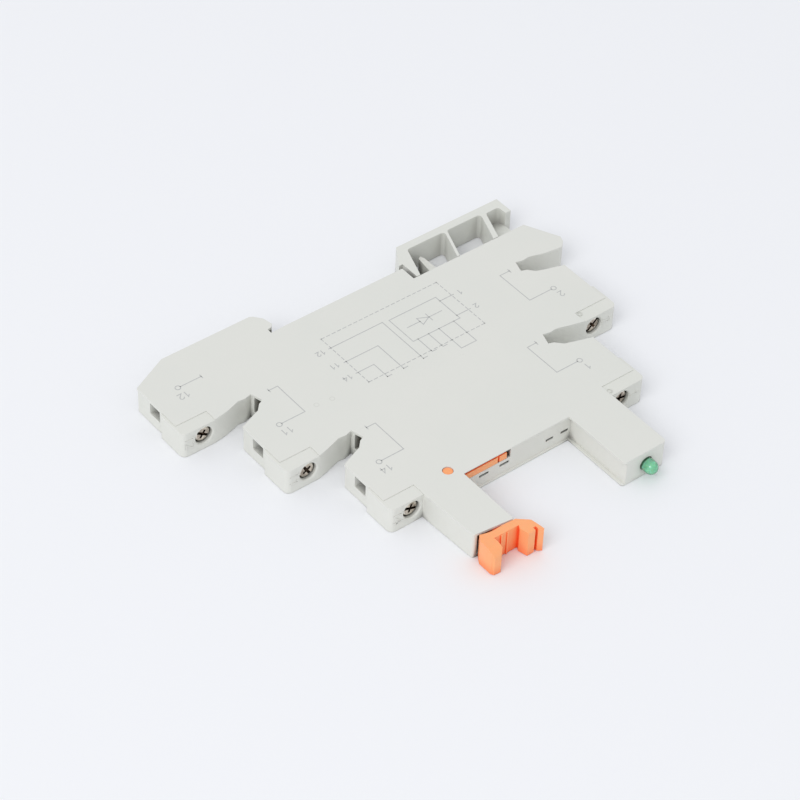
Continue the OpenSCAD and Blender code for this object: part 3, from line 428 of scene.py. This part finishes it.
class Strokes:
    """Collects raised lines. place(x, y, h) puts a point of the drawing at a height over its face."""

    def __init__(self, place, height, width):
        self.place = place
        self.height = height
        self.width = width
        self.verts = []
        self.faces = []

    def line(self, points, closed=False):
        """One line with mitred corners."""
        half = self.width / 2
        points = [Vector(p) for p in points]
        count = len(points)
        if not closed:
            points[0] = points[0] - (points[1] - points[0]).normalized() * half
            points[-1] = points[-1] + (points[-1] - points[-2]).normalized() * half
        start = len(self.verts)
        for i, point in enumerate(points):
            into = points[i] - points[i - 1] if i or closed else points[1] - points[0]
            on = points[(i + 1) % count] - points[i] if i < count - 1 or closed else into
            normal = Vector((-into.y, into.x)).normalized()
            mitre = (normal + Vector((-on.y, on.x)).normalized()).normalized()
            side = mitre * half / max(mitre.dot(normal), SHARPEST_MITRE)
            for p, h in (
                (point + side, -STROKE_SUNK), (point + side, self.height),
                (point - side, self.height), (point - side, -STROKE_SUNK),
            ):
                self.verts.append(self.place(p.x, p.y, h))
        spans = count if closed else count - 1
        for i in range(spans):
            a, b = start + 4 * i, start + 4 * ((i + 1) % count)
            for k in range(4):
                m = (k + 1) % 4
                self.faces.append([a + k, a + m, b + m, b + k])
        if not closed:
            last = start + 4 * (count - 1)
            self.faces.append([start, start + 1, start + 2, start + 3])
            self.faces.append([last + 3, last + 2, last + 1, last])

    def ring(self, x, y, r, steps=RING_STEPS):
        turns = [2 * math.pi * i / steps for i in range(steps)]
        self.line([(x + r * math.cos(a), y + r * math.sin(a)) for a in turns], True)

    def dashes(self, a, b):
        """Dashed line from a to b, with a whole dash at both ends."""
        a, b = Vector(a), Vector(b)
        length = (b - a).length
        step = (b - a) / length
        count = round((length + DASH_GAP) / (DASH + DASH_GAP))
        pitch = (length + DASH_GAP) / count
        for i in range(count):
            self.line([a + step * pitch * i, a + step * (pitch * (i + 1) - DASH_GAP)])

    def number(self, text, x, y, size, up=(0.0, -1.0)):
        """Plain number, its middle at x, y. up is the direction of its upper side."""
        up = Vector(up)
        right = Vector((up.y, -up.x))
        whole = ((len(text) - 1) * DIGIT_STEP + DIGIT_W) * size
        corner = Vector((x, y)) - right * whole / 2 - up * size / 2
        for k, char in enumerate(text):
            for line in DIGITS[char]:
                self.line([
                    corner + right * (k * DIGIT_STEP + px) * size + up * py * size
                    for px, py in line
                ])

    def finish(self, name, mat):
        mesh = mesh_from(name, self.verts, self.faces)
        add_object(name, mesh, mat, "housing")


def on_cover(x, y, h):
    """Drawing points of the cover: x from the rail's middle, y from the rail seat."""
    return (x, y + SEAT_Y, TOP + h)


def on_underside(x, y, h):
    """Drawing points of the underside, with the same x and y."""
    return (x, y + SEAT_Y, -h)


# Printing on the cover: terminal symbols and their numbers

PRINT_H = 0.01
PRINT_W = 0.2
NUMBER_H = 1.5
RING_R = 0.55
TICK = 0.5

# Each symbol: its line, the middle of its ring, and its number with its place
SYMBOLS = {
    "12": ([(-36.0, -2.4), (-40.95, -2.4)], (-41.5, -2.4), "12", (-41.8, -4.9)),
    "11": (
        [(-27.8, -13.4), (-25.7, -13.4), (-25.7, -22.3), (-31.25, -22.3)],
        (-31.8, -22.3), "11", (-31.6, -24.6),
    ),
    "14": (
        [(-18.9, -32.8), (-16.8, -32.8), (-16.8, -41.6), (-22.15, -41.6)],
        (-22.7, -41.6), "14", (-22.7, -43.9),
    ),
    "a2": (
        [(32.8, -13.5), (30.3, -13.5), (30.3, -22.9), (36.05, -22.9)],
        (36.6, -22.9), "2", (36.8, -25.1),
    ),
    "a1": (
        [(23.0, -33.5), (20.7, -33.5), (20.7, -42.5), (26.05, -42.5)],
        (26.6, -42.5), "1", (26.8, -44.7),
    ),
}


def print_symbols(strokes):
    for line, ring, text, place in SYMBOLS.values():
        strokes.line(line)
        strokes.ring(*ring, RING_R)
        strokes.number(text, *place, NUMBER_H)
        x, y = line[0]
        strokes.line([(x, y - TICK), (x, y + TICK)])


# Plain circuit in a dashed box: its box, contact lines, coil with its leads, and numbers

BOX_L, BOX_R, BOX_TOP, BOX_LOW = -10.7, 18.5, -7.5, -22.95
CONTACT_FOOT = 0.9
CONTACT_LINES = ((-10.7, 2.15), (-15.65, -2.8), (-19.5, -6.8))
COIL_L, COIL_R, COIL_TOP, COIL_LOW = 3.6, 15.5, -11.0, -18.8
SUPPLY_LINES = (-12.4, -17.8)
COIL_LEADS = ((4.8, -23.3), (7.45, -23.4))
LOOP_L, LOOP_R, LOOP_LOW = 10.1, 13.9, -25.95
DIODE_IN, DIODE_L, DIODE_R, DIODE_OUT = 5.2, 8.4, 10.6, 13.9
DIODE_HALF = 1.1
DIODE_BAR = 0.1
SMALL_H = 1.2
SMALL_NUMBERS = (
    ("12", -13.3, -10.8), ("11", -13.3, -15.4), ("14", -13.3, -19.6),
    ("1", 20.5, -12.6), ("2", 20.5, -17.8),
)


def print_circuit(strokes):
    corners = [(BOX_L, BOX_TOP), (BOX_R, BOX_TOP), (BOX_R, BOX_LOW), (BOX_L, BOX_LOW)]
    for a, b in zip(corners, corners[1:] + corners[:1]):
        strokes.dashes(a, b)
    foot = BOX_LOW - CONTACT_FOOT
    for y, x in CONTACT_LINES:
        strokes.line([(BOX_L - TICK, y), (x, y), (x, foot)])
        strokes.line([(x, foot), (x + 2 * TICK, foot)])
    coil = [(COIL_L, COIL_TOP), (COIL_R, COIL_TOP), (COIL_R, COIL_LOW), (COIL_L, COIL_LOW)]
    strokes.line(coil, True)
    for y in SUPPLY_LINES:
        strokes.line([(COIL_R, y), (BOX_R + TICK, y)])
    for x, end in COIL_LEADS:
        strokes.line([(x, COIL_LOW), (x, end), (x + 2 * TICK, end)])
    strokes.line([(LOOP_L, COIL_LOW), (LOOP_L, LOOP_LOW), (LOOP_R, LOOP_LOW), (LOOP_R, COIL_LOW)])
    # a plain diode and its two leads inside the coil's box
    mid = (COIL_TOP + COIL_LOW) / 2
    bar_x = DIODE_R + DIODE_BAR
    strokes.line([(DIODE_IN, mid), (DIODE_L, mid)])
    strokes.line([(DIODE_L, mid - DIODE_HALF), (DIODE_L, mid + DIODE_HALF), (DIODE_R, mid)], True)
    strokes.line([(bar_x, mid - DIODE_HALF), (bar_x, mid + DIODE_HALF)])
    strokes.line([(bar_x + DIODE_BAR, mid), (DIODE_OUT, mid)])
    for text, x, y in SMALL_NUMBERS:
        strokes.number(text, x, y, SMALL_H)


printing = Strokes(on_cover, PRINT_H, PRINT_W)
print_symbols(printing)
print_circuit(printing)
printing.finish("cover_printing", INK)

# Faint round marks of the mould's pins, on the cover and on the underside

MARK_H = 0.008
MARK_W = 0.14
COVER_MARK_R = 0.5
COVER_MARKS = ((-22.8, -22.1), (-19.3, -22.5), (35.7, -32.0), (25.5, -52.6))
UNDER_MARK_R = 1.3
UNDER_MARK_STEPS = 40
UNDER_MARKS = (
    (-40.0, -6.0), (-26.0, -27.0), (-17.0, -60.0), (0.0, -8.0),
    (0.0, -44.0), (20.0, -60.0), (37.0, -26.0),
)

cover_marks = Strokes(on_cover, MARK_H, MARK_W)
for place in COVER_MARKS:
    cover_marks.ring(*place, COVER_MARK_R)
cover_marks.finish("cover_pin_marks", MOULD)
under_marks = Strokes(on_underside, MARK_H, MARK_W)
for place in UNDER_MARKS:
    under_marks.ring(*place, UNDER_MARK_R, UNDER_MARK_STEPS)
under_marks.finish("under_pin_marks", MOULD)


# Raised numbers on the fronts of the terminals, beside the screws

HEAD_SUNK = 0.6
LABEL_OUT = 3.25
LABEL_H = 1.9
LABEL_W = 0.26
LABEL_RISE = 0.1


def front_label(key, text):
    low, high = node_box("terminal_screw_" + key)
    front = low.y - HEAD_SUNK
    strokes = Strokes(lambda x, z, h: (x, front - h, z), LABEL_RISE, LABEL_W)
    x = (low.x + high.x) / 2 + outward(key) * LABEL_OUT
    strokes.number(text, x, (low.z + high.z) / 2, LABEL_H, up=(1.0, 0.0))
    strokes.finish("front_label_" + key, HOUSING)


for key in TERMINALS:
    front_label(key, SYMBOLS[key][2])


# Screws: combined slot and cross heads on threaded shanks

HEAD_T = 1.5
HEAD_EDGE = 0.1
# Curve of the head's upper side: share of its radius, and depth
HEAD_CURVE = ((0.0, 0.02), (0.76, 0.0), (0.93, 0.14), (1.0, 0.34))
SHANK_R = 1.25
NECK_L = 0.2
THREAD_FROM = 0.35
THREAD_PITCH = 0.5
THREAD_DEPTH = 0.16
# Depths of a thread's crest and of its lower root, from its upper root
CREST_FROM = 0.2
CREST_TO = 0.27
ROOT_FROM = 0.45
SHANK_EDGE = 0.1
SCREW_STEPS = 64
SCREW_EDGE = 0.04
SCREW_EDGE_ANGLE = 50
SMOOTH_ANGLE = 30

# Slot and cross: half widths, reach, depth and taper
SLOT_OVER = 0.2
SLOT_HALF = 0.29
SLOT_DEPTH = 0.55
SLOT_TAPER = 0.98
CROSS_HALF = 0.3
CROSS_REACH = 1.12
CROSS_DEPTH = 0.8
CROSS_TAPER = 0.6
CUT_OVER = 0.3

# Painted highlight on the rim and painted shade in the recess of a head
RIM_SHARE = 0.76
RIM_DEPTH = 0.36
RECESS_FROM = 0.04

# Turn of each screw, in degrees
TURN = {"12": 35, "11": 58, "14": 20, "a2": -40, "a1": 10}


def screw_profile(head_r, end):
    """Radius and depth along the screw, from the middle of its head to its end."""
    root = SHANK_R - THREAD_DEPTH
    points = [(head_r * share, depth) for share, depth in HEAD_CURVE]
    points += [
        (head_r, HEAD_T - HEAD_EDGE), (head_r - HEAD_EDGE, HEAD_T),
        (SHANK_R, HEAD_T), (root, HEAD_T + NECK_L),
    ]
    depth = HEAD_T + THREAD_FROM
    while depth < end - THREAD_PITCH:
        points += [
            (root, depth), (SHANK_R, depth + CREST_FROM),
            (SHANK_R, depth + CREST_TO), (root, depth + ROOT_FROM),
        ]
        depth += THREAD_PITCH
    return points + [(root - SHANK_EDGE, end), (0.0, end)]


def turned(profile, steps):
    """Shell of a profile of (radius, depth) turned about y."""
    shell = bmesh.new()
    rings = []
    for r, depth in profile:
        turns = [2 * math.pi * i / steps for i in range(steps if r else 1)]
        rings.append([shell.verts.new((r * math.cos(a), depth, r * math.sin(a))) for a in turns])
    for a, b in zip(rings, rings[1:]):
        for i in range(steps):
            j = (i + 1) % steps
            corners = [a[i % len(a)], a[j % len(a)], b[j % len(b)], b[i % len(b)]]
            shell.faces.new(list(dict.fromkeys(corners)))
    bmesh.ops.recalc_face_normals(shell, faces=shell.faces)
    return shell


def wedge(half_x, half_z, depth, taper):
    """Tapered block that cuts a recess into the head."""
    corners = [(-1, -1), (1, -1), (1, 1), (-1, 1)]
    shell = bmesh.new()
    upper = [shell.verts.new((x * half_x, -CUT_OVER, z * half_z)) for x, z in corners]
    lower = [shell.verts.new((x * half_x * taper, depth, z * half_z * taper)) for x, z in corners]
    shell.faces.new(upper)
    shell.faces.new(lower[::-1])
    for i in range(4):
        j = (i + 1) % 4
        shell.faces.new((upper[i], lower[i], lower[j], upper[j]))
    bmesh.ops.recalc_face_normals(shell, faces=shell.faces)
    return shell


def scratch_object(name, shell):
    mesh = bpy.data.meshes.new(name)
    shell.to_mesh(mesh)
    shell.free()
    obj = bpy.data.objects.new(name, mesh)
    bpy.context.scene.collection.objects.link(obj)
    return obj


def screw_mesh(head_r, length):
    """Turned screw with its slot and cross cut out, in millimetres."""
    blank = scratch_object("blank", turned(screw_profile(head_r, length), SCREW_STEPS))
    cutters = [
        scratch_object("slot", wedge(head_r + SLOT_OVER, SLOT_HALF, SLOT_DEPTH, SLOT_TAPER)),
        scratch_object("cross", wedge(CROSS_HALF, CROSS_REACH, CROSS_DEPTH, CROSS_TAPER)),
    ]
    for cutter in cutters:
        cut = blank.modifiers.new("cut", "BOOLEAN")
        cut.operation = "DIFFERENCE"
        cut.solver = "EXACT"
        cut.object = cutter
    bpy.context.view_layer.update()
    graph = bpy.context.evaluated_depsgraph_get()
    mesh = bpy.data.meshes.new_from_object(blank.evaluated_get(graph))
    for obj in [blank] + cutters:
        bpy.data.objects.remove(obj)
    return mesh


def screw(key):
    low, high = node_box("terminal_screw_" + key)
    head_r = (high.x - low.x) / 2
    mesh = screw_mesh(head_r, high.y - low.y)
    middle = Vector(((low.x + high.x) / 2, low.y, (low.z + high.z) / 2)) * MM
    place = Matrix.Translation(middle) @ Matrix.Rotation(math.radians(TURN[key]), 4, "Y")
    mesh.transform(place @ Matrix.Scale(MM, 4))
    for face in mesh.polygons:
        face.use_smooth = True
    mesh.set_sharp_from_angle(angle=math.radians(SMOOTH_ANGLE))
    obj = add_object("screw_" + key, mesh, NICKEL, "screw_" + key)
    mesh.materials.append(RIM_HIGHLIGHT)
    mesh.materials.append(RECESS_SHADE)
    # Rim faces get the painted highlight, faces in the slot and cross the painted shade
    for face in mesh.polygons:
        out = face.center / MM - middle / MM
        away = math.hypot(out.x, out.z)
        if RIM_SHARE * head_r < away and out.y < RIM_DEPTH:
            face.material_index = 1
        elif RECESS_FROM < out.y < CROSS_DEPTH + RECESS_FROM and away < RIM_SHARE * head_r:
            face.material_index = 2
    edge = obj.modifiers.new("edge", "BEVEL")
    edge.width = SCREW_EDGE * MM
    edge.segments = 2
    edge.angle_limit = math.radians(SCREW_EDGE_ANGLE)
    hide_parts("terminal_screw_" + key)


for key in TERMINALS:
    screw(key)


# Table, world, light and camera

TABLE_HALF = 1.5
TABLE_DROP = 0.00002
LIGHT_AT = (-1.3, -0.4, 1.4)
LIGHT_SIZE = 1.2
LIGHT_POWER = 12.5
SKY_COLOUR = (0.97, 0.98, 1.0, 1.0)
SKY_STRENGTH = 0.8
CAMERA_AT = (-0.25365, -0.29015, 0.36326)
CAMERA_RIGHT = (0.7857, -0.6179, 0.0310)
CAMERA_FORWARD = (0.4680, 0.5608, -0.6830)
LENS = 121.85
SENSOR = 36.0
CLIP_START = 0.01


def pale_table():
    mesh = bpy.data.meshes.new("table")
    corners = [(-1, -1), (1, -1), (1, 1), (-1, 1)]
    verts = [(x * TABLE_HALF, y * TABLE_HALF, 0) for x, y in corners]
    mesh.from_pydata(verts, [], [(0, 1, 2, 3)])
    obj = bpy.data.objects.new("table", mesh)
    obj.location.z = -TABLE_DROP
    bpy.context.scene.collection.objects.link(obj)
    mat, tree, shader = new_material("table_white")
    shader.inputs["Base Color"].default_value = (*srgb(242, 243, 246), 1.0)
    shader.inputs["Roughness"].default_value = 0.7
    mesh.materials.append(mat)


def soft_sky():
    world = bpy.data.worlds.new("studio")
    bpy.context.scene.world = world
    world.use_nodes = True
    sky = world.node_tree.nodes["Background"]
    sky.inputs["Color"].default_value = SKY_COLOUR
    sky.inputs["Strength"].default_value = SKY_STRENGTH


def soft_light():
    light = bpy.data.lights.new("key", "AREA")
    light.shape = "SQUARE"
    light.size = LIGHT_SIZE
    light.energy = LIGHT_POWER
    obj = bpy.data.objects.new("key", light)
    obj.location = LIGHT_AT
    obj.rotation_euler = (-Vector(LIGHT_AT)).to_track_quat("-Z", "Y").to_euler()
    bpy.context.scene.collection.objects.link(obj)


def photo_camera():
    data = bpy.data.cameras.new("camera")
    data.lens = LENS
    data.sensor_width = SENSOR
    data.clip_start = CLIP_START
    camera = bpy.data.objects.new("camera", data)
    back = -Vector(CAMERA_FORWARD).normalized()
    up = back.cross(Vector(CAMERA_RIGHT)).normalized()
    turn = Matrix((up.cross(back), up, back)).transposed().to_4x4()
    camera.matrix_world = Matrix.Translation(CAMERA_AT) @ turn
    bpy.context.scene.collection.objects.link(camera)
    bpy.context.scene.camera = camera


pale_table()
soft_sky()
soft_light()
photo_camera()
bpy.context.scene.view_settings.view_transform = "Standard"
